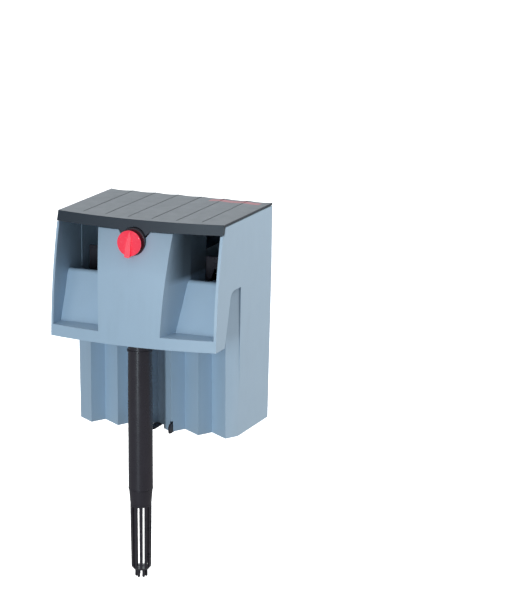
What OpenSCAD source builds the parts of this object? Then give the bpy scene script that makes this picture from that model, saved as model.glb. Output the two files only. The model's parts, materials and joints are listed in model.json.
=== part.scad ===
// Hang-on-back aquarium filter with a telescopic intake, a flow knob and two lift-out cartridges.
// Origin: middle of the seat that rests on the tank rim. +Y points away from the tank, +Z up.

/* [Housing] */
// Width over the side walls, under the lid
body_w = 160; // [158:0.5:162]
// Height of the lid's top above the tank rim
top_z = 66; // [65.5:0.1:68]
// Back of the housing, at the lid
back_y = 88; // [86:0.5:92]
// How much the back wall slopes in towards the floor
back_draft = 3.4; // [2:0.1:4.5]
// Reach of the hood below the tank rim
hood_drop = 43.7; // [43:0.1:45]
// Reach of the rear box below the tank rim
box_drop = 132.3; // [130:0.1:136]
// Half width of the rear box at its floor
box_foot_hw = 77.7; // [77:0.1:78.5]
// Wall thickness
wall = 2.5; // [2.2:0.1:2.6]

/* [Hood] */
// Radius of the bowed front, seen from above
bow_r = 341.6; // [320:1:400]
// How far the middle of the front stands ahead of its corners
bow = 9.5; // [8.5:0.1:10]
// Radius of the front's curve, seen from the side
hood_r = 433; // [425:1:450]
// Height of the weir crests above the rim
crest_z = 10.8; // [10:0.1:12]
// Half width of the centre column at the front face
column_hw = 30.4; // [30:0.1:31]
// Half width of the centre column at the weirs
column_back_hw = 40; // [39.5:0.1:40.5]

/* [Corrugated wall] */
// Number of corrugations
waves = 6; // [6:1:6]
// Depth of a corrugation
wave_d = 13.4; // [12:0.1:14]
// Share of a corrugation that runs forwards
wave_share = 0.72; // [0.66:0.01:0.78]

/* [Lid] */
// Depth of the front lip
lip_h = 8.8; // [8.5:0.1:9]
// Number of slats
slats = 7; // [5:1:9]
// Dish of a slat at the back edge
slat_dish = 0.7; // [0.3:0.1:0.9]

/* [Knob] */
// Radius of the knob
knob_r = 11.2; // [10.5:0.1:11.5]
// Height of the knob's axis above the rim
knob_z = 47.5; // [47:0.1:48]
// Radius of the knob's shaft
shaft_r = 3; // [2.5:0.1:3.2]

/* [Intake] */
// Distance of the intake's axis ahead of the seat
intake_y = 20.7; // [20.5:0.1:21]
// Outer radius of the intake's outer tube
tube_r = 10.92; // [10.8:0.01:11]
// Bottom of the upper tube
upper_end_z = -108.3; // [-112:0.1:-105]
// Bottom of the outer tube
outer_end_z = -179.6; // [-185:0.1:-176]
// Number of slots in the strainer
strainer_slots = 12; // [8:2:14]
// How far the lower intake slides out
intake_travel = 50; // [30:5:50]

/* [Hidden] */

$fn = 64;
far = 400;                                  // larger than anything cut
eps = 0.05;                                 // overlap of joined shapes and reach of cuts
gap = 0.3;                                  // between pieces that move apart
running = 0.06;                             // radial play of a running fit
bow_fn = 180;                               // segments of the bowed front

housing_grey = [0.60, 0.67, 0.74];
lid_grey = [0.30, 0.33, 0.37];
knob_red = [0.85, 0.12, 0.18];
dark = [0.10, 0.10, 0.11];
mid_grey = [0.45, 0.47, 0.50];
steel = [0.62, 0.63, 0.66];
copper = [0.72, 0.40, 0.20];
rubber_black = [0.07, 0.07, 0.07];
ceramic = [0.93, 0.92, 0.88];
foam_blue = [0.16, 0.35, 0.62];
resin = [0.20, 0.18, 0.17];

// Heights of the housing
rim_z = top_z - 2.7;                        // top edge of its walls, under the lid
lip_z = top_z - lip_h;                      // bottom edge of the lid's lip
slot_z = 3.8;                               // top of the slot that takes the glass
bridge_z = slot_z + wall;                   // floor of the bridge over the glass
chute_z = -33.3;                            // floor of the spillways
floor_z = -box_drop;                        // underside of the rear box
top_hw = body_w / 2;

// Front surface: an arc seen from the side, turned about a vertical axis far behind
hood_toe_y = -35.5;
hood_toe_z = -56;
function front_y(z) = hood_toe_y + pow(z - hood_toe_z, 2) / (2 * hood_r);
bow_y = front_y(top_z) - bow + bow_r;       // axis of the bow
front_steps = 14;
function front_level(i) = floor_z + (top_z + 14 - floor_z) * i / front_steps;

// Lid front: a straight slope, just proud of the hood
lip_top_y = -18.5;
lip_slope = 2.9 / 8.8;
function lip_y(z) = lip_top_y - (top_z - z) * lip_slope;

lip_rebate = 3;                             // step in the housing's front, behind the lip
lip_gap = 0.9;                              // dark joint under the lip
tab_cut_y = -27.6;                          // back of the recess for the lip's tab
rail_inset = 5.5;                           // back of the rail above the windows
skirt_gap = 0.5;                            // skirt inside the housing's walls
skirt_t = 2;
skirt_z = top_z - 6;

// Slot for the glass
slot_corner = [3.5, -5.2];
slot_corner_r = slot_z - slot_corner[1];
hood_foot_y = -16.9;
column_back_y = -6.5;

// Weir
crest_r = 4;
crest_c = [-2.06, crest_z - crest_r];
ramp_foot = [-20.8, chute_z];
ramp_vec = crest_c - ramp_foot;
ramp_a = atan2(ramp_vec[1], ramp_vec[0]) + asin(crest_r / norm(ramp_vec));
ramp_slope = cos(ramp_a) / sin(ramp_a);     // change of y for a change of z

// Corrugated wall
wave_w = 158.4 / waves;
valley_y = 18;
ridge_y = valley_y - wave_d;
function valley_x(k) = -80 + k * wave_w;
function ridge_x(k) = valley_x(k) + wave_w * wave_share;
// Shift of the wall's outline that gives the same thickness on both kinds of facet
wave_a = atan2(wave_d, wave_w * wave_share);
wave_b = atan2(wave_d, wave_w * (1 - wave_share));
wave_dy = wall * (sin(wave_a) + sin(wave_b)) / sin(wave_a + wave_b);
wave_dx = wall * (cos(wave_b) - cos(wave_a)) / sin(wave_a + wave_b);

// Column plan
column_front = -44;
column_tilt = 1.83;                         // its side faces lean out upwards
column_end_y = 30;                          // back edge of its side walls

// Knob and valve, on one axis along Y
collar_r = 12;
collar_y = -34.6;
knob_face_y = -41.6;
knob_rim_y = -40.4;
knob_back_y = -37.5;
knob_rest_a = 5;                            // turn of the pointer at rest
valve_y = [-23, -8];
valve_r = 12.5;
port_r = 3.4;
port_offset = 6.3;

// Pump, on the intake's axis
axis_y = -intake_y;
motor_x = 17;
motor_y = [-33.2, -9.3];
motor_z = [-22, 28];
well_r = 7.6;
well_wall = 1;
well_top = 6;
leg_x = [7.5, 13.4];
leg_z = [-14, 22];
stack_y = [-27.2, -14.2];
yoke_h = 4.5;
coil_hw = 6.8;
coil_out = [[-30.9, 12.6], [-10.9, 26.8]];  // y and z of the bobbin's flanges
pump_bore_r = 10.2;
pump_wall = 1.2;
pump_z = [-38, -22];
cover_h = 3;
riser = [24.5, -17];
riser_r = [5, 6.2];
duct_r = 3.6;
duct_y = -15.2;
duct_z = -31;
pin_r = 1;

// Intake
spigot_r = 8.9;
upper_bore_r = 9;
telescope_bore_r = 9.5;
inner_tube_r = telescope_bore_r - 0.08;
inner_tube_bore_r = 7.4;
basket_z = [-254.6, -193.7];
adapter_z = [basket_z[1], outer_end_z - gap];
inner_tube_z = [adapter_z[0] + 3.4, outer_end_z + intake_travel + 18.6];
slot_band = [-252.9, -195.4];
basket_turn = 23;                           // turn of the strainer's ribs and feet
feet_z = -261.7;

// Cartridges and baffle
cart_x = [40.5, 74.5];
cart_y = [31, 80];
cart_z = [-118.5, 2];
handle_z = 25;
foam_y = [33.3, 56];
carbon_y = [57, 77.7];
baffle_hw = 38;

// Cable outlet, high in the back wall: X and Z
grommet = [-60, 50];
cable_r = 3;

// Levelling spacer, in a pocket under the floor
arm_x = [16.9, 18.9];
spacer_tip_y = 0.6;
spacer_end_y = 52;
spacer_z = [floor_z - 1, floor_z + 7.6];
tongue_hw = 3.6;
tongue_z = [floor_z + 1.6, floor_z + 3.2];
notch_hw = 7.3;
pocket_y = [21.8, 58.5];
pocket_h = 9.8;

// An outline in Y and Z, run along X, or in X and Z, run along Y
module along_x(w = far) { rotate([90, 0, 90]) linear_extrude(w, center = true) children(); }
module along_y(d = far) { rotate([90, 0, 0]) linear_extrude(d, center = true) children(); }

module tube(r_out, r_in, z0, z1) {
  translate([0, 0, z0]) difference() {
    cylinder(r = r_out, h = z1 - z0);
    translate([0, 0, -eps]) cylinder(r = r_in, h = z1 - z0 + 2 * eps);
  }
}

module block(x, y, z) {
  translate([x[0], y[0], z[0]]) cube([x[1] - x[0], y[1] - y[0], z[1] - z[0]]);
}

// Cylinder along Y, from y0 to y1
module y_rod(r, y0, y1) { translate([0, y0, 0]) rotate([-90, 0, 0]) cylinder(r = r, h = y1 - y0); }

module both_sides() {
  children();
  mirror([1, 0, 0]) children();
}

module on_pump_axis() { translate([0, axis_y, 0]) children(); }

module on_knob_axis() { translate([0, 0, knob_z]) children(); }

// Everything behind the hood's bowed front, set back by inset
module behind_front(inset) {
  levels = [for (i = [0:front_steps]) front_level(i)];
  edge = [for (z = levels) [bow_y - front_y(z) + bow - inset, z]];
  translate([0, bow_y, 0]) rotate_extrude($fn = bow_fn)
    polygon(concat([[0, levels[0]]], edge, [[0, levels[front_steps]]]));
}

// Everything behind the lid's bowed front, set back by inset
module behind_lip(inset) {
  z = [lip_z - 20, top_z + 10];
  translate([0, bow_y, 0]) rotate_extrude($fn = bow_fn)
    polygon([[0, z[0]], [bow_y - lip_y(z[0]) + bow - inset, z[0]],
             [bow_y - lip_y(z[1]) + bow - inset, z[1]], [0, z[1]]]);
}

// Back and side limits of the body, set in by inset
module behind_limit(inset) {
  along_x() polygon([[-far, -far], [back_y - back_draft * 2 - inset, top_z - (top_z + box_drop) * 2],
                     [back_y + back_draft - inset, 2 * top_z + box_drop], [-far, far]]);
}

module hood_sides(inset) {
  foot_hw = top_hw - 0.3;
  along_y() polygon([[-foot_hw + inset, -hood_drop], [foot_hw - inset, -hood_drop],
                     [top_hw - inset, top_z], [-top_hw + inset, top_z]]);
}

module box_sides(inset) {
  knee_hw = top_hw - 0.2 - inset;
  foot_hw = box_foot_hw - inset;
  along_y() polygon([[-foot_hw, floor_z], [foot_hw, floor_z], [knee_hw, slot_z],
                     [knee_hw, top_z + 20], [-knee_hw, top_z + 20], [-knee_hw, slot_z]]);
}

module corrugated_plan() {
  front = [for (k = [0:waves - 1], x = [valley_x(k), ridge_x(k)]) [x, x == ridge_x(k) ? ridge_y : valley_y]];
  polygon(concat([[-far, valley_y]], front,
                 [[valley_x(waves), valley_y], [far, valley_y], [far, far], [-far, far]]));
}

module hood_outer() {
  arc = [for (a = [180:-15:90]) slot_corner + slot_corner_r * [cos(a), sin(a)]];
  intersection() {
    along_x() polygon(concat([[-far, rim_z], [-far, -hood_drop], [hood_foot_y, -hood_drop]], arc,
                             [[far, slot_z], [far, rim_z]]));
    behind_front(0);
    behind_limit(0);
    hood_sides(0);
  }
}

module box_outer() {
  intersection() {
    translate([0, 0, floor_z]) linear_extrude(box_drop + bridge_z) corrugated_plan();
    behind_limit(0);
    box_sides(0);
  }
}

module chamber() {
  intersection() {
    translate([-wave_dx, wave_dy, floor_z + wall]) linear_extrude(far) corrugated_plan();
    behind_limit(wall);
    box_sides(wall);
  }
}

// Plan of the centre column, flared towards the weirs, leaning out upwards
module column_prism(inset, end_y) {
  half = [[column_hw - inset, -far / 4], [column_hw - inset, column_front],
          [column_back_hw - inset, crest_c[0]], [column_back_hw - inset, end_y]];
  past_middle = -12;
  plan = [[past_middle, -far / 4], each half, [past_middle, end_y]];
  both_sides() rotate([0, column_tilt, 0]) translate([0, 0, -far / 2]) linear_extrude(far) polygon(plan);
}

// Front wall above a height, behind the lip: it stays closed over the windows
module front_rail(z0, inset) {
  difference() {
    translate([-far / 2, -far / 2, z0]) cube([far, far / 2, far]);
    behind_front(inset);
  }
}

module spillways() {
  arc = [for (a = [ramp_a + 90:-10:20]) crest_c + crest_r * [cos(a), sin(a)]];
  difference() {
    intersection() {
      along_x() polygon(concat([[-far, chute_z], ramp_foot], arc,
                               [[crest_c[0] + crest_r, bridge_z], [valley_y + wave_dy, bridge_z],
                                [valley_y + wave_dy, far], [-far, far]]));
      block([-top_hw + wall, top_hw - wall], [-far / 4, far / 4], [-far / 4, far / 4]);
    }
    column_prism(0, far / 4);
    front_rail(rim_z - 4.8, rail_inset);
  }
}

module column_space() {
  difference() {
    intersection() {
      column_prism(wall, column_end_y + 2);
      along_x() polygon([[-far, -hood_drop + wall], [column_back_y - wall, -hood_drop + wall],
                         [column_back_y - wall, bridge_z], [far, bridge_z], [far, far], [-far, far]]);
      behind_front(wall);
    }
    front_rail(lip_z - 2.8, rail_inset);
  }
}

// Centre block of the hood, straight down to its foot behind
module column_block() {
  intersection() {
    column_prism(0, column_back_y);
    block([-far, far], [hood_foot_y - 6, column_back_y], [-hood_drop, bridge_z]);
  }
}

// Side walls of the column, carried on into the rear box
module column_side_walls() {
  difference() {
    intersection() {
      column_prism(0, column_end_y);
      translate([0, 0, floor_z + eps]) linear_extrude(rim_z - 3.3 - floor_z) corrugated_plan();
    }
    column_prism(wall, column_end_y + 2);
  }
}

// Hollow under the spillway floors and behind the ramps
module hood_pockets() {
  under = chute_z - wall;
  ramp_in = ramp_foot[0] + (under - chute_z) * ramp_slope;
  foot_in = ramp_foot[0] + (-hood_drop - chute_z) * ramp_slope;
  ramp_back = wall / sin(ramp_a);
  knee = -3;
  difference() {
    intersection() {
      along_x() polygon([[-far, under], [-far, -hood_drop - 1], [foot_in, -hood_drop - 1], [ramp_in, under]]);
      behind_front(wall);
      hood_sides(wall);
    }
    column_prism(-wall, far / 4);
  }
  difference() {
    along_x(2 * (top_hw - 0.3 - wall))
      polygon([[ramp_foot[0] + (knee - chute_z) * ramp_slope + ramp_back, knee], [0, knee],
               [0, -hood_drop - 1], [foot_in + ramp_back, -hood_drop - 1]]);
    column_prism(0, far / 4);
  }
}

module seat_ribs() {
  for (x = [-60, -30, 0, 30, 60])
    block([x - 1.5, x + 1.5], [column_back_y + 1, ridge_y + eps], [0, slot_z + eps]);
}

module spacer_pocket_block() {
  hw = arm_x[1] + 3;
  block([-hw, hw], [ridge_y, pocket_y[1] + wall], [floor_z, floor_z + pocket_h + wall]);
}

module spacer_pocket() {
  z = [floor_z - 1, floor_z + pocket_h];
  block([-arm_x[1] - 0.5, arm_x[1] + 0.5], pocket_y, z);
  both_sides() block([arm_x[0] - gap, arm_x[1] + gap], [ridge_y - 1, pocket_y[0] + 1], z);
  block([-notch_hw, notch_hw], [ridge_y - 1, pocket_y[0] + 1], [z[0], tongue_z[1] + gap]);
}

module lip_tab_outline(grow) {
  polygon([[-15.5 - grow, lip_z], [-10.5 - grow, lip_z - 4.9 - grow],
           [10.5 + grow, lip_z - 4.9 - grow], [15.5 + grow, lip_z]]);
}

module filter_housing() {
  color(housing_grey) difference() {
    union() {
      difference() {
        union() {
          hood_outer();
          box_outer();
          column_block();
        }
        chamber();
        spillways();
        hood_pockets();
      }
      column_side_walls();
      intersection() {
        spacer_pocket_block();
        translate([0, 0, floor_z]) linear_extrude(far) corrugated_plan();
      }
      seat_ribs();
    }
    column_space();
    front_rail_cut();
    skirt_notch();
    spacer_pocket();
    on_pump_axis() translate([0, 0, -hood_drop - 1]) cylinder(r = spigot_r + gap, h = wall + 2);
    on_knob_axis() y_rod(collar_r + 0.1, -60, collar_y + 8);
    on_grommet() y_rod(5, -20, 20);
  }
}

// Step in the front wall that takes the lid's lip and its tab
module front_rail_cut() {
  difference() {
    block([-far, far], [-far, 0], [lip_z - lip_gap, far]);
    behind_front(lip_rebate);
  }
  translate([0, tab_cut_y - far / 2, 0]) along_y() lip_tab_outline(lip_gap);
}

// Notch in the column's walls for the front of the lid's skirt
module skirt_notch() {
  difference() {
    intersection() {
      behind_front(rail_inset);
      block([-column_back_hw, column_back_hw], [-60, -5], [skirt_z - 0.4, far]);
    }
    behind_front(rail_inset + 2 * skirt_gap + skirt_t);
  }
}

module lid_cover() {
  lid_t = 2;
  lip_t = 2.5;
  slat_w = body_w / slats;
  dish_r = pow(slat_w, 2) / (8 * slat_dish);
  run = back_y + 10;
  color(lid_grey) difference() {
    union() {
      intersection() {
        behind_lip(0);
        block([-top_hw, top_hw], [-60, back_y], [top_z - lid_t, top_z]);
      }
      difference() {
        intersection() {
          behind_lip(0);
          block([-top_hw, top_hw], [-60, 0], [lip_z, top_z - lid_t + eps]);
        }
        behind_lip(lip_t);
      }
      lip_tab(lip_t);
      lid_skirt(lid_t);
    }
    on_knob_axis() y_rod(collar_r + 0.5, -far, 0);
    for (i = [1:slats - 1]) lid_groove(-top_hw + i * slat_w);
    for (i = [0:slats - 1])
      translate([-top_hw + (i + 0.5) * slat_w, -10, top_z + dish_r])
        rotate([-atan2(slat_dish, run) - 90, 0, 0])
          cylinder(r = dish_r, h = 3 * run, center = true, $fn = 240);
  }
}

module lid_groove(x) {
  groove_w = 0.8;
  groove_d = 0.7;
  margin = 8.5;
  intersection() {
    block([x - groove_w / 2, x + groove_w / 2], [-60, far], [top_z - groove_d, far]);
    behind_lip(margin);
  }
}

module lip_tab(lip_t) {
  difference() {
    intersection() {
      behind_lip(0);
      translate([0, -far / 2 - 20, 0]) along_y() lip_tab_outline(0);
    }
    behind_lip(lip_t);
  }
}

module lid_skirt(lid_t) {
  z = [skirt_z, top_z - lid_t + eps];
  hw = top_hw - wall - skirt_gap - 0.2;
  difference() {
    intersection() {
      behind_front(rail_inset + skirt_gap);
      behind_limit(wall + skirt_gap);
      block([-hw, hw], [-60, far], z);
    }
    intersection() {
      behind_front(rail_inset + skirt_gap + skirt_t);
      behind_limit(wall + skirt_gap + skirt_t);
      block([-hw + skirt_t, hw - skirt_t], [-60, far], [z[0] - 1, z[1] + 1]);
    }
  }
}

module control_knob() {
  hub_r = 8;
  color(knob_red) on_knob_axis() difference() {
    union() {
      y_rod(knob_r, knob_face_y, knob_rim_y + eps);
      translate([0, knob_rim_y, 0]) rotate([-90, 0, 0])
        cylinder(r1 = knob_r, r2 = hub_r, h = knob_back_y - knob_rim_y);
      y_rod(hub_r, knob_back_y - eps, collar_y - 0.4);
      rotate([0, knob_rest_a, 0]) knob_pointer();
    }
    y_rod(shaft_r, knob_face_y + 1, 0);
  }
}

// Ridge across the knob, level with its face at the top and standing proud at the bottom
module knob_pointer() {
  top = knob_r - 0.6;
  foot = -knob_r - 1.2;
  proud = 2.4;
  intersection() {
    along_y_from(knob_face_y - proud, knob_rim_y)
      polygon([[0, top], [-1.7, 6], [-2.2, 0], [-2.6, foot + 0.8], [-1.8, foot],
               [1.8, foot], [2.6, foot + 0.8], [2.2, 0], [1.7, 6]]);
    along_x() polygon([[knob_rim_y + 1, top + 1], [knob_face_y, top], [knob_face_y - proud, foot],
                       [knob_rim_y + 1, foot]]);
  }
}

// Outline in X and Z, run along Y from y0 to y1
module along_y_from(y0, y1) { translate([0, y1, 0]) rotate([90, 0, 0]) linear_extrude(y1 - y0) children(); }

module knob_shaft() {
  color(dark) on_knob_axis() y_rod(shaft_r, knob_face_y + 1, valve_y[1] - 0.4);
}

module throttle_disc() {
  y = [valve_y[1] - 2.4, valve_y[1] - 0.4];
  color(mid_grey) on_knob_axis() difference() {
    y_rod(valve_r - 1.8, y[0], y[1]);
    y_rod(shaft_r, y[0] - 1, y[1] + 1);
    translate([0, 0, -port_offset]) y_rod(port_r, y[0] - 1, y[1] + 1);
  }
}

module knob_collar() {
  color(dark) on_knob_axis() difference() {
    y_rod(collar_r, collar_y, collar_y + 7.5);
    y_rod(shaft_r + running, collar_y - 1, 0);
  }
}

module valve_chamber() {
  color(mid_grey) on_knob_axis() difference() {
    y_rod(valve_r, valve_y[0], valve_y[1]);
    y_rod(valve_r - 1.5, valve_y[0] + 2, valve_y[1] + 1);
    y_rod(shaft_r + running, valve_y[0] - 1, valve_y[0] + 3);
    translate([0, riser[1], 0]) x_rod(riser_r[0], 0, 20);
  }
}

module valve_seat_plate() {
  color(mid_grey) on_knob_axis() difference() {
    y_rod(valve_r, valve_y[1], valve_y[1] + 2);
    translate([0, 0, -port_offset]) y_rod(port_r, valve_y[1] - 1, valve_y[1] + 3);
  }
}

module discharge_spout() {
  r = [4.6, 6];
  y = [valve_y[1] + 2, 28.5];
  z = [-12, knob_z - port_offset];
  color(mid_grey) difference() {
    union() {
      translate([0, 0, z[1]]) y_rod(r[1], y[0], y[1]);
      translate([0, y[1], z[0]]) cylinder(r = r[1], h = z[1] - z[0]);
      translate([0, y[1], z[1]]) sphere(r = r[1]);
    }
    translate([0, 0, z[1]]) y_rod(r[0], y[0] - 1, y[1]);
    translate([0, y[1], z[0] - 1]) cylinder(r = r[0], h = z[1] - z[0] + 1);
    translate([0, y[1], z[1]]) sphere(r = r[0]);
  }
}

// Cylinder along X, from x0 to x1
module x_rod(r, x0, x1) { translate([x0, 0, 0]) rotate([0, 90, 0]) cylinder(r = r, h = x1 - x0); }

module riser_pipe() {
  x = valve_r - 1.2;
  z = [pump_z[1] - 4, knob_z + 7];
  color(mid_grey) translate([0, riser[1], 0]) difference() {
    union() {
      translate([riser[0], 0, z[0]]) cylinder(r = riser_r[1], h = z[1] - z[0]);
      on_knob_axis() x_rod(riser_r[0], x, riser[0]);
    }
    translate([riser[0], 0, z[0] - 1]) cylinder(r = riser_r[0], h = z[1] - z[0] - 0.5);
    on_knob_axis() x_rod(riser_r[0] - 1.2, x - 1, riser[0]);
  }
}

module motor_cavity() {
  t = 1.5;
  block([-motor_x + t, motor_x - t], [motor_y[0] + t, motor_y[1] - t], [motor_z[0] + t, motor_z[1]]);
}

module rotor_well(r, z_top) {
  on_pump_axis() translate([0, 0, motor_z[0] - 1]) cylinder(r = r, h = z_top - motor_z[0] + 1);
}

module motor_housing() {
  color(dark) difference() {
    union() {
      difference() {
        block([-motor_x, motor_x], motor_y, motor_z);
        motor_cavity();
      }
      intersection() {
        rotor_well(well_r + well_wall, well_top + 1.5);
        block([-motor_x, motor_x], motor_y, motor_z);
      }
    }
    rotor_well(well_r, well_top);
  }
}

module motor_cap() {
  boss_r = 4;
  boss = [-9, -21.2];
  color(dark) difference() {
    union() {
      block([-motor_x, motor_x], motor_y, [motor_z[1], motor_z[1] + 2]);
      translate([boss[0], boss[1], motor_z[1]]) cylinder(r = boss_r, h = 5);
    }
    translate([boss[0], boss[1], motor_z[1] + 1]) cylinder(r = boss_r - 1.5, h = 6);
  }
}

module stator_core() {
  color(steel) difference() {
    union() {
      both_sides() block(leg_x, stack_y, leg_z);
      block([-leg_x[1], leg_x[1]], stack_y, [leg_z[1] - yoke_h, leg_z[1]]);
    }
    rotor_well(well_r + well_wall, well_top + 1.5);
    block([-9, 9], [-far, far], [well_top + 1.5, leg_z[1] - yoke_h]);
  }
}

module coil_space(inset_x) {
  block([-coil_hw + inset_x, coil_hw - inset_x], [coil_out[0][0], coil_out[1][0]],
        [coil_out[0][1], coil_out[1][1]]);
}

module bobbin_tube(grow) {
  block([-coil_hw - 1, coil_hw + 1], [stack_y[0] - grow, stack_y[1] + grow],
        [leg_z[1] - yoke_h - grow, leg_z[1] + grow]);
}

module coil_bobbin() {
  color(ceramic) difference() {
    coil_space(0);
    difference() {
      coil_space(1);
      bobbin_tube(0.8);
    }
    bobbin_tube(0);
  }
}

module coil_winding() {
  color(copper) difference() {
    coil_space(1);
    bobbin_tube(0.8);
  }
}

module stator_potting() {
  color(resin) difference() {
    motor_cavity();
    rotor_well(well_r + well_wall, well_top + 1.5);
    both_sides() block([leg_x[0], leg_x[1]], stack_y, leg_z);
    block([-leg_x[1], leg_x[1]], stack_y, [leg_z[1] - yoke_h, leg_z[1]]);
    coil_space(0);
  }
}

module pump_plan(grow) {
  on_pump_axis() circle(r = pump_bore_r + pump_wall + grow);
  translate([riser[0], riser[1]]) circle(r = riser_r[1] + 1.2 + grow);
  translate([0, duct_y - 5.6]) square([riser[0], 11.2]);
}

module volute_housing() {
  color(dark) difference() {
    translate([0, 0, pump_z[0]]) linear_extrude(pump_z[1] - pump_z[0]) pump_plan(0);
    on_pump_axis() translate([0, 0, pump_z[0] - 1]) cylinder(r = pump_bore_r, h = pump_z[1] - pump_z[0] - 1);
    rotor_hole();
    translate([0, duct_y, duct_z]) x_rod(duct_r, 4, riser[0]);
    translate([riser[0], riser[1], pump_z[0] + 3]) cylinder(r = riser_r[0], h = far);
    translate([riser[0], riser[1], pump_z[1] - 4]) cylinder(r = riser_r[1], h = far);
  }
}

module rotor_hole() { on_pump_axis() translate([0, 0, pump_z[1] - 5]) cylinder(r = well_r, h = 10); }

module volute_cover() {
  z = [pump_z[0] - cover_h, pump_z[0]];
  spigot_bore = 7;
  color(dark) {
    difference() {
      union() {
        translate([0, 0, z[0]]) linear_extrude(cover_h) pump_plan(0);
        on_pump_axis() translate([0, 0, z[0] - 16]) cylinder(r = spigot_r, h = 16 + eps);
      }
      on_pump_axis() translate([0, 0, z[0] - 17]) cylinder(r = spigot_bore, h = 30);
      on_pump_axis() tube(pump_bore_r + 1, pump_bore_r + 0.1, z[1] - 0.95, z[1] + 1);
    }
    on_pump_axis() difference() {
      union() {
        translate([0, 0, z[0]]) cylinder(r = 3.8, h = cover_h);
        for (a = [0, 90]) rotate(a)
          block([-spigot_bore - 0.5, spigot_bore + 0.5], [-0.8, 0.8], [z[0], z[1] - 0.6]);
      }
      translate([0, 0, z[0] + 0.5]) cylinder(r = 2.4, h = cover_h);
    }
  }
}

module ring(r, section_r, z) {
  translate([0, 0, z]) rotate_extrude() translate([r, 0]) circle(r = section_r, $fn = 24);
}

module volute_oring() { color(rubber_black) on_pump_axis() ring(pump_bore_r + 0.55, 0.44, pump_z[0] - 0.45); }

module impeller() {
  hub_r = 2.4;
  disc_z = -27;
  blade_z = -36.5;
  blades = 6;
  color(ceramic) on_pump_axis() difference() {
    union() {
      translate([0, 0, blade_z - 0.5]) cylinder(r = hub_r, h = 2.5 - blade_z + 0.5);
      translate([0, 0, disc_z]) cylinder(r = 9.2, h = 1.5);
      translate([0, 0, disc_z + 1]) cylinder(r = 4, h = 4.5);
      for (i = [0:blades - 1]) rotate(i * 360 / blades)
        block([hub_r - 0.4, 9], [-0.6, 0.6], [blade_z, disc_z + 0.5]);
    }
    translate([0, 0, -60]) cylinder(r = pin_r + running, h = 90);
  }
}

module rotor_magnet() { color(steel) on_pump_axis() tube(6.6, 2.4, -21.5, 2); }

module impeller_shaft() {
  color(ceramic) on_pump_axis() translate([0, 0, pump_z[0] - 2.3]) cylinder(r = pin_r, h = 46);
}

module upper_shaft_bush() { color(rubber_black) on_pump_axis() tube(3.2, pin_r, 3.2, well_top); }

module lower_shaft_bush() {
  color(rubber_black) on_pump_axis() tube(2.4, pin_r, pump_z[0] - 2.5, pump_z[0] + 0.3);
}

module intake_upper_tube() {
  top = -hood_drop - gap;
  knee = -100;
  color(dark) on_pump_axis() difference() {
    union() {
      translate([0, 0, knee]) cylinder(r1 = tube_r + 0.11, r2 = tube_r - 0.32, h = top - knee);
      translate([0, 0, upper_end_z]) cylinder(r = tube_r + 0.11, h = knee - upper_end_z + eps);
    }
    translate([0, 0, upper_end_z - 1]) cylinder(r = upper_bore_r, h = 80);
  }
}

module intake_collar() { color(dark) on_pump_axis() tube(11.5, tube_r - 0.2, -53.2, -51.4); }

module intake_outer_tube() {
  spigot_h = 14;
  lip_r = tube_r + 0.15;
  color(dark) on_pump_axis() {
    difference() {
      union() {
        translate([0, 0, outer_end_z]) cylinder(r = tube_r, h = upper_end_z - outer_end_z);
        translate([0, 0, outer_end_z]) cylinder(r = lip_r, h = 1.2);
        translate([0, 0, upper_end_z - eps]) cylinder(r = upper_bore_r - 0.05, h = spigot_h);
      }
      translate([0, 0, outer_end_z - 1]) cylinder(r = telescope_bore_r, h = upper_end_z - outer_end_z - 0.5);
      translate([0, 0, upper_end_z - 5]) cylinder(r = 7.8, h = spigot_h + 10);
    }
  }
}

module intake_inner_tube() {
  groove = [inner_tube_z[1] - 3.2, inner_tube_z[1] - 1.9];
  color(dark) on_pump_axis() difference() {
    tube(inner_tube_r, inner_tube_bore_r, inner_tube_z[0], inner_tube_z[1]);
    tube(inner_tube_r + 1, 8.2, groove[0], groove[1]);
  }
}

module telescope_oring() { color(rubber_black) on_pump_axis() ring(8.83, 0.6, inner_tube_z[1] - 2.55); }

module strainer_adapter() {
  color(dark) on_pump_axis() difference() {
    translate([0, 0, adapter_z[0]]) cylinder(r1 = 9.45, r2 = tube_r - 0.3, h = adapter_z[1] - adapter_z[0]);
    translate([0, 0, inner_tube_z[0]]) cylinder(r = inner_tube_r, h = far);
    translate([0, 0, adapter_z[0] - 1]) cylinder(r = inner_tube_bore_r, h = far);
  }
}

module strainer_basket() {
  r = [8.8, 9.6];
  t = 1.9;
  slot_w = 2.5;
  chamfer = 2.4;
  foot_r = 1.3;
  color(dark) on_pump_axis() rotate(basket_turn) {
    difference() {
      union() {
        translate([0, 0, basket_z[0] + chamfer])
          cylinder(r1 = r[0], r2 = r[1], h = basket_z[1] - basket_z[0] - chamfer);
        translate([0, 0, basket_z[0]]) cylinder(r1 = r[0] - 2, r2 = r[0], h = chamfer);
      }
      translate([0, 0, slot_band[0]])
        cylinder(r1 = r[0] - t, r2 = r[1] - t, h = basket_z[1] - slot_band[0] + 1);
      for (i = [0:strainer_slots / 2 - 1]) rotate((i + 0.5) * 360 / strainer_slots)
        block([-15, 15], [-slot_w / 2, slot_w / 2], slot_band);
    }
    for (a = [0:60:300]) rotate(a) translate([4.3, 0, feet_z]) {
      cylinder(r1 = foot_r - 0.5, r2 = foot_r, h = 1);
      translate([0, 0, 1]) cylinder(r = foot_r, h = basket_z[0] - feet_z);
    }
  }
}

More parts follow.
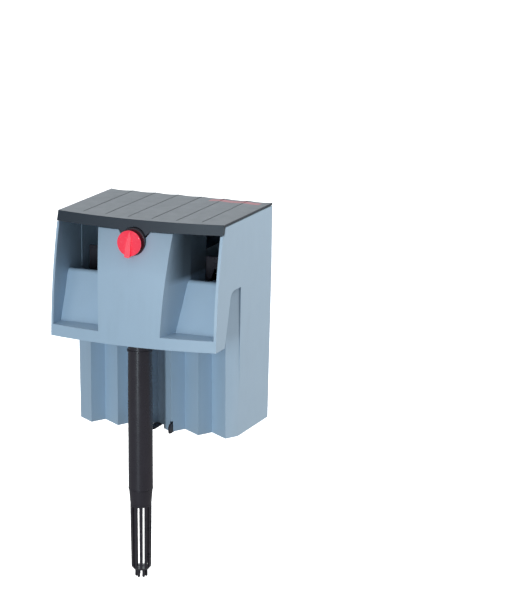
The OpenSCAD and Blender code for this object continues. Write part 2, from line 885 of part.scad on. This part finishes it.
// Plates at both sides of the inlet bay, joined by a foot plate over the spacer's pocket
module inlet_baffle() {
  t = 2;
  y = [column_end_y + 0.5, 78];
  foot_z = floor_z + pocket_h + wall + 0.2;
  color(mid_grey) {
    both_sides() block([baffle_hw - t, baffle_hw], y, [floor_z + wall + 0.1, 30]);
    block([-baffle_hw + eps, baffle_hw - eps], [y[0], y[1] - 14], [foot_z, foot_z + t]);
  }
}

module cartridge_window_cuts(face_y) {
  cols = 2;
  rows = 5;
  rib = 3;
  cell_x = (cart_x[1] - cart_x[0] - rib) / cols;
  cell_z = (cart_z[1] - cart_z[0] - rib) / rows;
  for (i = [0:cols - 1], k = [0:rows - 1])
    block([cart_x[0] + rib + i * cell_x, cart_x[0] + (i + 1) * cell_x], face_y,
          [cart_z[0] + rib + k * cell_z, cart_z[0] + (k + 1) * cell_z]);
}

module cartridge_frame() {
  t = 2;
  inside_x = [cart_x[0] + t, cart_x[1] - t];
  front_cut = [cart_y[0] - 1, cart_y[0] + t + 1];
  color(dark) difference() {
    union() {
      difference() {
        block(cart_x, cart_y, cart_z);
        block(inside_x, [cart_y[0] + t, cart_y[1] - t], [cart_z[0] + t, far]);
      }
      block(cart_x, [cart_y[0], cart_y[0] + t], [cart_z[1] - eps, handle_z]);
    }
    cartridge_window_cuts(front_cut);
    cartridge_window_cuts([cart_y[1] - t - 1, cart_y[1] + 1]);
    block([cart_x[0] + 8, cart_x[1] - 8], front_cut, [cart_z[1] + 4, cart_z[1] + 12]);
  }
}

module media_pad(y) { block([cart_x[0] + 2.3, cart_x[1] - 2.3], y, [cart_z[0] + 2.3, cart_z[1] - 1]); }

module cartridge_frame_right() { cartridge_frame(); }
module cartridge_frame_left() { mirror([1, 0, 0]) cartridge_frame(); }
module foam_pad_right() { color(foam_blue) media_pad(foam_y); }
module foam_pad_left() { mirror([1, 0, 0]) color(foam_blue) media_pad(foam_y); }
module carbon_pad_right() { color(rubber_black) media_pad(carbon_y); }
module carbon_pad_left() { mirror([1, 0, 0]) color(rubber_black) media_pad(carbon_y); }

module on_grommet() {
  y = back_y - back_draft * (top_z - grommet[1]) / (top_z + box_drop);
  translate([grommet[0], y, grommet[1]]) children();
}

module cable_grommet() {
  color(rubber_black) on_grommet() difference() {
    union() {
      y_rod(4.95, -wall - 1.5, 1.6);
      y_rod(7, 0.1, 1.8);
      y_rod(6.2, -wall - 1.6, -wall - 0.3);
    }
    y_rod(cable_r, -10, 10);
  }
}

module leveling_spacer() {
  z = spacer_z;
  plate_y = 36;
  color(dark) {
    both_sides() along_x_from(arm_x[0], arm_x[1])
      polygon([[spacer_tip_y + 1.5, z[0]], [spacer_end_y, z[0]], [spacer_end_y, z[1]],
               [spacer_tip_y + 2, z[1]], [spacer_tip_y, z[1] - 3], [spacer_tip_y, z[0] + 1.5]]);
    block([-arm_x[0] - eps, arm_x[0] + eps], [plate_y, spacer_end_y], [z[0], tongue_z[1]]);
    block([-tongue_hw, tongue_hw], [spacer_tip_y, plate_y + eps], tongue_z);
  }
}

// Outline in Y and Z, run along X from x0 to x1
module along_x_from(x0, x1) { translate([x0, 0, 0]) rotate([90, 0, 90]) linear_extrude(x1 - x0) children(); }

filter_housing();
lid_cover();
control_knob();
knob_shaft();
throttle_disc();
knob_collar();
valve_chamber();
valve_seat_plate();
discharge_spout();
riser_pipe();
motor_housing();
motor_cap();
stator_core();
coil_bobbin();
coil_winding();
stator_potting();
volute_housing();
volute_cover();
volute_oring();
impeller();
rotor_magnet();
impeller_shaft();
upper_shaft_bush();
lower_shaft_bush();
intake_upper_tube();
intake_collar();
intake_outer_tube();
intake_inner_tube();
telescope_oring();
strainer_adapter();
strainer_basket();
inlet_baffle();
cartridge_frame_left();
cartridge_frame_right();
foam_pad_left();
foam_pad_right();
carbon_pad_left();
carbon_pad_right();
cable_grommet();
leveling_spacer();
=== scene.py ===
"""Looks of the hang-on-back aquarium filter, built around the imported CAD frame.

All lengths are in metres, in the CAD frame: +Z up, +Y away from the tank.
"""

import bmesh
import bpy
import json
import math
from mathutils import Matrix, Vector, noise


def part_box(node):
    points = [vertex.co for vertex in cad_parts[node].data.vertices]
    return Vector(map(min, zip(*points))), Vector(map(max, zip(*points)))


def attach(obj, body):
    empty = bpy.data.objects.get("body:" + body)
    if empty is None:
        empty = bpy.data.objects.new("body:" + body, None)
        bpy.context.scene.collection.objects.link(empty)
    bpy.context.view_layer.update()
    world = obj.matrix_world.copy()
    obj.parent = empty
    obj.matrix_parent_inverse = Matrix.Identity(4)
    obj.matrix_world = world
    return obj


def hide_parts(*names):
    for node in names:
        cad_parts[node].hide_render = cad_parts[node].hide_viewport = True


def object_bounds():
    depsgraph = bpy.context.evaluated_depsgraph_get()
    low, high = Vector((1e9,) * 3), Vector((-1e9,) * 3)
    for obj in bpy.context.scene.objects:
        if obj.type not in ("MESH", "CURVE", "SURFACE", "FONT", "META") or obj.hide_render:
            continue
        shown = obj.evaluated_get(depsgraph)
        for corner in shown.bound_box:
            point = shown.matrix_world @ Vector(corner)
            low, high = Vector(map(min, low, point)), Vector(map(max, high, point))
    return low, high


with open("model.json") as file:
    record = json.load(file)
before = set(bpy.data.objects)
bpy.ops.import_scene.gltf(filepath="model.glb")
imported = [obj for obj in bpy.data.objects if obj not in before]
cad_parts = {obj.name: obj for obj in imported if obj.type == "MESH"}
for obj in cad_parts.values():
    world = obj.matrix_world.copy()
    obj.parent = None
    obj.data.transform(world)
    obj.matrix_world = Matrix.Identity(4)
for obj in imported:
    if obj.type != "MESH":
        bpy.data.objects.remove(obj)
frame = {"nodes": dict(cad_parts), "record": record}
cad_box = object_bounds()
MM = 0.001
BELOW, HORIZON, ZENITH = 0.32, 0.05, 0.75      # the dome's brightness: underneath, at eye level, overhead
INTAKE_TRAVEL = 50 * MM
SLOT_OF = {part["node"]: part["material_slot"] for part in frame["record"]["subparts"]}


# ---------------------------------------------------------------- camera, light and floor

def make_camera():
    """The photograph's viewing angle, with a long lens."""
    azimuth, elevation, roll = math.radians(23.12), math.radians(13.65), math.radians(0.22)
    look_at = Vector((107.86, -18.5, 2.86)) * MM
    distance = 2.3189
    back = Vector((math.sin(azimuth) * math.cos(elevation), -math.cos(azimuth) * math.cos(elevation),
                   math.sin(elevation)))
    level = Vector((math.cos(azimuth), math.sin(azimuth), 0))
    upright = back.cross(level)
    right = math.cos(roll) * level + math.sin(roll) * upright
    up = math.cos(roll) * upright - math.sin(roll) * level
    data = bpy.data.cameras.new("camera")
    data.sensor_width = 36
    data.lens = 161.86
    data.clip_end = 30
    camera = bpy.data.objects.new("camera", data)
    bpy.context.scene.collection.objects.link(camera)
    place = Matrix((right, up, back)).transposed().to_4x4()
    place.translation = look_at + back * distance
    camera.matrix_world = place
    bpy.context.scene.camera = camera


def softbox(name, place, size, power, colour=(1, 1, 1)):
    """A rectangular light that points at the middle of the housing."""
    light = bpy.data.lights.new(name, "AREA")
    light.shape = "RECTANGLE"
    light.size, light.size_y = size
    light.energy = power
    light.color = colour
    box = bpy.data.objects.new(name, light)
    box.location = place
    box.rotation_euler = (Vector((0, 0, -0.03)) - box.location).to_track_quat("-Z", "Y").to_euler()
    bpy.context.scene.collection.objects.link(box)


def make_studio():
    """A soft dome, bright overhead and dim at the horizon, with four softboxes."""
    world = bpy.data.worlds.new("studio")
    bpy.context.scene.world = world
    world.use_nodes = True
    nodes, links = world.node_tree.nodes, world.node_tree.links
    axes = nodes.new("ShaderNodeSeparateXYZ")
    links.new(nodes.new("ShaderNodeTexCoord").outputs["Generated"], axes.inputs["Vector"])
    ramp = nodes.new("ShaderNodeValToRGB")
    height = nodes.new("ShaderNodeMapRange")
    height.inputs["From Min"].default_value = -1
    links.new(axes.outputs["Z"], height.inputs["Value"])
    links.new(height.outputs["Result"], ramp.inputs["Fac"])
    ramp.color_ramp.interpolation = "EASE"
    stops = ((0.47, BELOW), (0.62, HORIZON), (0.97, ZENITH))
    for index, (place, value) in enumerate(stops):
        stop = ramp.color_ramp.elements[index] if index < 2 else ramp.color_ramp.elements.new(place)
        stop.position = place
        stop.color = (0.93 * value, 0.97 * value, value, 1)
    links.new(ramp.outputs["Color"], nodes["Background"].inputs["Color"])
    softbox("front_left", (-0.92, -1.98, 0.26), (0.6, 0.8), 2.5, (0.92, 0.97, 1.0))
    softbox("front_strip", (0.06, -2.1, 0.1), (0.2, 1.1), 20, (0.78, 0.92, 1.0))
    softbox("key_right", (1.25, 0.75, 0.85), (1.7, 1.7), 26, (1.0, 0.985, 0.95))
    softbox("behind", (-0.7, 2.3, 1.0), (2.6, 0.9), 15, (0.88, 0.95, 1.0))
    bpy.context.scene.view_settings.view_transform = "Standard"


def make_floor():
    """A pale floor just below the strainer's feet when the intake is fully out."""
    reach = 12
    mesh = bpy.data.meshes.new("floor")
    z = cad_box[0][2] - INTAKE_TRAVEL - 2 * MM
    corners = [(-reach, -reach, z), (reach, -reach, z), (reach, reach, z), (-reach, reach, z)]
    mesh.from_pydata(corners, [], [(0, 1, 2, 3)])
    floor = bpy.data.objects.new("floor", mesh)
    bpy.context.scene.collection.objects.link(floor)
    floor.visible_diffuse = False       # the dome, not the floor, sets the light from below
    floor.visible_glossy = False
    floor.visible_shadow = False
    paint = Finish("floor_paper", (0.93, 0.93, 0.93), 0.85)
    paint.bump(paint.noise(4, detail=3), 0.02)
    mesh.materials.append(paint.material)
    light_floor(floor)


def light_floor(floor):
    """A soft sun that shines on the floor alone."""
    glow = bpy.data.lights.new("floor_light", "SUN")
    glow.energy = 3.2
    glow.angle = math.radians(70)
    lamp = bpy.data.objects.new("floor_light", glow)
    bpy.context.scene.collection.objects.link(lamp)
    lit = bpy.data.collections.new("floor_only")
    lit.objects.link(floor)
    lamp.light_linking.receiver_collection = lit


# ---------------------------------------------------------------- materials

def shade(colour, factor):
    return tuple(min(1, c * factor) for c in colour)


class Finish:
    """A Principled material whose detail is laid out in object space. Sizes are in millimetres."""

    def __init__(self, name, colour, rough, metallic=0, coat=0, coat_rough=0.1, specular=0.5, sheen=0):
        self.material = bpy.data.materials.new(name)
        self.material.use_nodes = True
        self.nodes = self.material.node_tree.nodes
        self.links = self.material.node_tree.links
        self.shader = self.nodes["Principled BSDF"]
        self.coords = self.nodes.new("ShaderNodeTexCoord").outputs["Object"]
        self.normal = None
        self.set("Base Color", (*colour, 1))
        self.set("Roughness", rough)
        self.set("Metallic", metallic)
        self.set("Coat Weight", coat)
        self.set("Coat Roughness", coat_rough)
        self.set("Specular IOR Level", specular)
        self.set("Sheen Weight", sheen)

    def set(self, socket, value):
        self.shader.inputs[socket].default_value = value

    def space(self, stretch):
        mapping = self.nodes.new("ShaderNodeMapping")
        mapping.inputs["Scale"].default_value = stretch
        self.links.new(self.coords, mapping.inputs["Vector"])
        return mapping.outputs["Vector"]

    def noise(self, size, detail=2, roughness=0.5, stretch=(1, 1, 1), distortion=0):
        node = self.nodes.new("ShaderNodeTexNoise")
        node.inputs["Scale"].default_value = 1 / (size * MM)
        node.inputs["Detail"].default_value = detail
        node.inputs["Roughness"].default_value = roughness
        node.inputs["Distortion"].default_value = distortion
        self.links.new(self.space(stretch), node.inputs["Vector"])
        return node.outputs["Fac"]

    def cells(self, size):
        node = self.nodes.new("ShaderNodeTexVoronoi")
        node.inputs["Scale"].default_value = 1 / (size * MM)
        self.links.new(self.coords, node.inputs["Vector"])
        return node.outputs["Distance"]

    def bands(self, pitch, direction, distortion=0):
        node = self.nodes.new("ShaderNodeTexWave")
        node.bands_direction = direction
        node.inputs["Scale"].default_value = math.pi / (10 * pitch * MM)
        node.inputs["Distortion"].default_value = distortion
        self.links.new(self.coords, node.inputs["Vector"])
        return node.outputs["Fac"]

    def spread(self, factor, low, high, start=0.3, end=0.7):
        node = self.nodes.new("ShaderNodeMapRange")
        node.inputs["From Min"].default_value = start
        node.inputs["From Max"].default_value = end
        node.inputs["To Min"].default_value = low
        node.inputs["To Max"].default_value = high
        self.links.new(factor, node.inputs["Value"])
        return node.outputs["Result"]

    def mix(self, factor, first, second):
        node = self.nodes.new("ShaderNodeMix")
        node.data_type = "RGBA"
        self.links.new(factor, node.inputs["Factor"])
        for socket, colour in ((node.inputs["A"], first), (node.inputs["B"], second)):
            if isinstance(colour, tuple):
                socket.default_value = (*colour, 1)
            else:
                self.links.new(colour, socket)
        return node.outputs["Result"]

    def math(self, operation, first, second):
        node = self.nodes.new("ShaderNodeMath")
        node.operation = operation
        for socket, value in zip(node.inputs, (first, second)):
            if isinstance(value, (int, float)):
                socket.default_value = value
            else:
                self.links.new(value, socket)
        return node.outputs["Value"]

    def paint(self, colour):
        self.links.new(colour, self.shader.inputs["Base Color"])
        return self

    def polish(self, rough):
        self.links.new(rough, self.shader.inputs["Roughness"])
        return self

    def bump(self, height, depth, strength=1):
        node = self.nodes.new("ShaderNodeBump")
        node.inputs["Strength"].default_value = strength
        node.inputs["Distance"].default_value = depth * MM
        self.links.new(height, node.inputs["Height"])
        if self.normal is not None:
            self.links.new(self.normal, node.inputs["Normal"])
        self.normal = node.outputs["Normal"]
        self.links.new(self.normal, self.shader.inputs["Normal"])
        return self


def plastic(name, colour, rough, grain=0.5, depth=0.012, variation=0.05, wear=0.06, **shader):
    """Moulded plastic: a spark-eroded grain, faint flow marks and slight clouding."""
    finish = Finish(name, colour, rough, **shader)
    cloud = finish.spread(finish.noise(26, detail=3), 0, 1)
    flow = finish.spread(finish.noise(7, detail=2, stretch=(1, 1, 0.12), distortion=0.6), 0, 1)
    clouded = finish.mix(cloud, shade(colour, 1 - variation), shade(colour, 1 + variation))
    streaked = finish.mix(flow, clouded, shade(colour, 1 + variation / 2))
    speck = finish.spread(finish.noise(0.35, detail=1), 0, 0.5, start=0.52, end=0.8)
    finish.paint(finish.mix(speck, streaked, shade(colour, 1 - 2 * variation)))
    finish.polish(finish.spread(finish.noise(11, detail=4, roughness=0.6), rough - wear, rough + wear))
    finish.bump(finish.noise(grain, detail=2), depth)
    finish.bump(finish.noise(16, detail=1), 0.05, strength=0.4)
    return finish


def lid_plastic():
    """Slate plastic with one plain printed bar near the lid's back right corner."""
    colour = (0.040, 0.051, 0.066)
    finish = plastic("lid_satin_plastic", colour, 0.37, grain=0.45, depth=0.014, variation=0.06, wear=0.025)
    low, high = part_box("lid_cover")
    axes = finish.nodes.new("ShaderNodeSeparateXYZ")
    finish.links.new(finish.coords, axes.inputs["Vector"])
    bar_x = (high.x - 57 * MM, high.x - 8 * MM)
    bar_y = (high.y - 13 * MM, high.y - 5 * MM)
    inside = 1.0
    for value, (start, end) in ((axes.outputs["X"], bar_x), (axes.outputs["Y"], bar_y)):
        inside = finish.math("MULTIPLY", inside, finish.math("GREATER_THAN", value, start))
        inside = finish.math("MULTIPLY", inside, finish.math("LESS_THAN", value, end))
    top = finish.math("GREATER_THAN", axes.outputs["Z"], high.z - 1.2 * MM)
    ink = finish.math("MULTIPLY", finish.math("MULTIPLY", inside, top), 0.55)
    base = finish.shader.inputs["Base Color"].links[0].from_socket
    finish.paint(finish.mix(ink, base, (0.55, 0.03, 0.05)))
    return finish


def housing_plastic():
    """Blue-grey plastic, painted darker behind the windows, where little light should get in."""
    finish = plastic("housing_satin_plastic", (0.43, 0.56, 0.69), 0.40, variation=0.03)
    low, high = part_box("filter_housing")
    axes = finish.nodes.new("ShaderNodeSeparateXYZ")
    finish.links.new(finish.coords, axes.inputs["Vector"])
    wall = 4.2 * MM
    depth = finish.spread(axes.outputs["Y"], 0, 1, start=-38 * MM, end=-12 * MM)
    painted_shade_mask = finish.math("MULTIPLY", depth, finish.math("LESS_THAN", axes.outputs["Y"], high.y - wall))
    width = finish.math("ABSOLUTE", axes.outputs["X"], 0)
    painted_shade_mask = finish.math("MULTIPLY", painted_shade_mask, finish.math("LESS_THAN", width, high.x - wall))
    above_ramp = finish.spread(axes.outputs["Z"], 0, 1, start=10 * MM, end=16 * MM)
    painted_shade_mask = finish.math("MULTIPLY", finish.math("MULTIPLY", painted_shade_mask, above_ramp), 0.8)
    base = finish.shader.inputs["Base Color"].links[0].from_socket
    # painted shade: inside the outer walls and above the ramps, the housing darkens towards the back
    finish.paint(finish.mix(painted_shade_mask, base, (0.035, 0.038, 0.042)))
    return finish


def red_plastic():
    finish = Finish("red_gloss_plastic", (1.0, 0.05, 0.09), 0.24, coat=0.35, coat_rough=0.06)
    cloud = finish.spread(finish.noise(9, detail=3), 0, 1)
    finish.paint(finish.mix(cloud, (0.96, 0.045, 0.085), (1.0, 0.07, 0.12)))
    finish.polish(finish.spread(finish.noise(3, detail=4), 0.18, 0.30))
    finish.bump(finish.noise(0.8, detail=2), 0.006)
    finish.set("Emission Color", (1.0, 0.01, 0.04, 1))      # painted light: a weak glow makes the knob shine, though it is no lamp
    # painted light: the glow's strength
    finish.set("Emission Strength", 0.26)
    return finish


def laminated_steel():
    """Stacked motor laminations, seen as fine lines across the stack."""
    finish = Finish("laminated_steel", (0.45, 0.46, 0.48), 0.34, metallic=1)
    sheets = finish.bands(0.5, "Y")
    rust = finish.spread(finish.noise(5, detail=4), 0, 0.35, start=0.55, end=0.8)
    plain = finish.mix(finish.spread(sheets, 0, 1), (0.22, 0.22, 0.23), (0.52, 0.53, 0.55))
    finish.paint(finish.mix(rust, plain, (0.30, 0.20, 0.13)))
    finish.polish(finish.spread(finish.noise(1.5, detail=3, stretch=(0.1, 1, 1)), 0.26, 0.48))
    finish.bump(sheets, 0.06, strength=0.8)
    return finish


def copper_wire():
    """Enamelled wire wound round the bobbin, in turns that run across the coil."""
    finish = Finish("enamelled_copper", (0.60, 0.22, 0.08), 0.28, metallic=1, coat=0.5)
    turns = finish.bands(0.35, "X", distortion=0.4)
    finish.paint(finish.mix(finish.spread(turns, 0, 1), (0.24, 0.07, 0.02), (0.75, 0.30, 0.12)))
    finish.polish(finish.spread(finish.noise(1.2, detail=3), 0.22, 0.38))
    finish.bump(turns, 0.12)
    return finish


def ferrite():
    finish = Finish("ferrite_magnet", (0.10, 0.10, 0.105), 0.55, metallic=0.4)
    grit = finish.noise(0.6, detail=5, roughness=0.7)
    finish.paint(finish.mix(finish.spread(grit, 0, 1), (0.06, 0.06, 0.062), (0.16, 0.16, 0.17)))
    finish.polish(finish.spread(finish.noise(2, detail=4), 0.45, 0.7))
    finish.bump(grit, 0.04)
    return finish


def potting_resin():
    finish = Finish("potting_resin", (0.022, 0.018, 0.016), 0.16, coat=0.4)
    swirl = finish.noise(14, detail=3, distortion=1.5)
    finish.paint(finish.mix(finish.spread(swirl, 0, 1), (0.014, 0.011, 0.010), (0.035, 0.028, 0.024)))
    finish.polish(finish.spread(finish.noise(4, detail=4), 0.12, 0.26))
    finish.bump(finish.noise(6, detail=2), 0.12, strength=0.5)
    return finish


def rubber():
    finish = Finish("black_rubber", (0.02, 0.02, 0.021), 0.78, specular=0.35)
    dust = finish.spread(finish.noise(1.8, detail=5, roughness=0.65), 0, 1)
    finish.paint(finish.mix(dust, (0.014, 0.014, 0.015), (0.040, 0.040, 0.041)))
    finish.polish(finish.spread(finish.noise(3, detail=3), 0.68, 0.9))
    finish.bump(finish.noise(0.4, detail=3), 0.02)
    return finish


def ceramic():
    finish = Finish("polished_ceramic", (0.82, 0.80, 0.75), 0.14, coat=0.3)
    cloud = finish.noise(2.5, detail=4)
    finish.paint(finish.mix(finish.spread(cloud, 0, 1), (0.76, 0.74, 0.68), (0.88, 0.87, 0.83)))
    finish.polish(finish.spread(finish.noise(0.8, detail=3), 0.10, 0.24))
    finish.bump(finish.noise(0.3, detail=2), 0.003)
    return finish


def foam():
    """Open-cell filter foam: pores painted dark as shade, between lighter struts."""
    finish = Finish("open_cell_foam", (0.05, 0.16, 0.40), 0.9, specular=0.2, sheen=0.3)
    pores = finish.cells(1.5)
    fine = finish.cells(0.7)
    pore_shade = finish.spread(pores, 0, 1, start=0.1, end=0.6)
    # painted shade: the pores are darkened where light would not reach into the holes
    struts = finish.mix(pore_shade, (0.010, 0.035, 0.11), (0.10, 0.28, 0.60))
    finish.paint(finish.mix(finish.spread(fine, 0, 0.45), struts, (0.03, 0.10, 0.28)))
    finish.polish(finish.spread(finish.noise(5, detail=3), 0.82, 0.98))
    finish.bump(pores, 0.7)
    finish.bump(fine, 0.25)
    return finish


def carbon():
    """Granular activated carbon in a fine black mesh."""
    finish = Finish("activated_carbon", (0.02, 0.02, 0.02), 0.6, specular=0.5)
    grains = finish.cells(2.2)
    dust = finish.noise(0.5, detail=4, roughness=0.7)
    finish.paint(finish.mix(finish.spread(dust, 0, 1), (0.010, 0.010, 0.011), (0.055, 0.055, 0.056)))
    finish.polish(finish.spread(grains, 0.35, 0.8, start=0.1, end=0.7))
    finish.bump(grains, 0.9)
    finish.bump(dust, 0.1)
    return finish


def make_materials():
    """One material for each slot of the record."""
    return {
        "housing": housing_plastic(),
        "lid": lid_plastic(),
        "red": red_plastic(),
        "black": plastic("black_satin_plastic", (0.030, 0.025, 0.033), 0.29, grain=0.6, variation=0.15),
        "inner": plastic("inner_grey_plastic", (0.09, 0.10, 0.115), 0.46, variation=0.06),
        "steel": laminated_steel(),
        "magnet": ferrite(),
        "bobbin": plastic("bobbin_nylon", (0.72, 0.70, 0.64), 0.42, variation=0.04),
        "copper": copper_wire(),
        "resin": potting_resin(),
        "rubber": rubber(),
        "ceramic": ceramic(),
        "foam": foam(),
        "carbon": carbon(),
    }


# ---------------------------------------------------------------- moulded edges on the CAD nodes

EDGE = {                # edge radius in millimetres, where it isn't the usual one
    "filter_housing": 0.45,
    "lid_cover": 0.22,
    "control_knob": 0.35,
    "knob_collar": 0.5,
    "intake_collar": 0.3,
    "inlet_baffle": 0.4,
    "leveling_spacer": 0.3,
    "cartridge_frame_left": 0.3,
    "cartridge_frame_right": 0.3,
}
USUAL_EDGE = 0.2


def round_edges(name, node):
    """Joins the node's triangles into flat faces and gives its sharp edges a moulded radius."""
    weld = node.modifiers.new("join", "WELD")
    weld.merge_threshold = 0.004 * MM
    flat = node.modifiers.new("flat_faces", "DECIMATE")
    flat.decimate_type = "DISSOLVE"
    flat.angle_limit = math.radians(0.5)
    edge = node.modifiers.new("edge_radius", "BEVEL")
    edge.width = EDGE.get(name, USUAL_EDGE) * MM
    edge.segments = 3
    edge.limit_method = "ANGLE"
    edge.angle_limit = math.radians(32)
    edge.miter_outer = "MITER_ARC"
    normals = node.modifiers.new("face_normals", "WEIGHTED_NORMAL")
    normals.mode = "FACE_AREA"
    normals.weight = 50
    for face in node.data.polygons:
        face.use_smooth = True


def finish_nodes(materials):
    for name, node in frame["nodes"].items():
        node.data.materials.clear()
        node.data.materials.append(materials[SLOT_OF[name]].material)
        round_edges(name, node)


# ---------------------------------------------------------------- filter media

def cushion(name, node, material, corner, rough, grain, seed, cuts=26):
    """A soft block that fills a CAD node's box, with rounded corners and an uneven skin."""
    low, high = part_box(node)
    middle, half = (low + high) / 2, (high - low) / 2
    shape = bmesh.new()
    bmesh.ops.create_cube(shape, size=2)
    bmesh.ops.subdivide_edges(shape, edges=shape.edges, cuts=cuts, use_grid_fill=True)
    corner = min(corner * MM, min(half))
    for vertex in shape.verts:
        place = Vector([vertex.co[i] * half[i] for i in range(3)])
        core = Vector([max(-half[i] + corner, min(half[i] - corner, place[i])) for i in range(3)])
        out = place - core
        if out.length > corner:
            out = out.normalized() * corner
        place = core + out
        lump = noise.noise((place + middle) / (grain * MM) + Vector((seed, 0, 0)))
        pit = noise.cell((place + middle) / (0.3 * grain * MM))
        sink = rough * MM * (0.5 + 0.5 * lump + 0.15 * pit)
        vertex.co = middle + place - out.normalized() * sink if out.length else middle + place
    mesh = bpy.data.meshes.new(name)
    shape.to_mesh(mesh)
    shape.free()
    for face in mesh.polygons:
        face.use_smooth = True
    piece = bpy.data.objects.new(name, mesh)
    bpy.context.scene.collection.objects.link(piece)
    mesh.materials.append(material)
    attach(piece, "housing")
    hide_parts(node)
    return piece


def make_media(materials):
    """Open-cell foam in front of a pouch of carbon granules, in each cartridge."""
    for seed, side in enumerate(("left", "right")):
        cushion("foam_block_" + side, "foam_pad_" + side, materials["foam"].material,
                corner=1.2, rough=0.5, grain=1.6, seed=7 * seed)
        cushion("carbon_pouch_" + side, "carbon_pad_" + side, materials["carbon"].material,
                corner=2.4, rough=0.9, grain=3.4, seed=31 + 7 * seed)


make_camera()
make_studio()
make_floor()
materials = make_materials()
finish_nodes(materials)
make_media(materials)

bpy.context.view_layer.update()
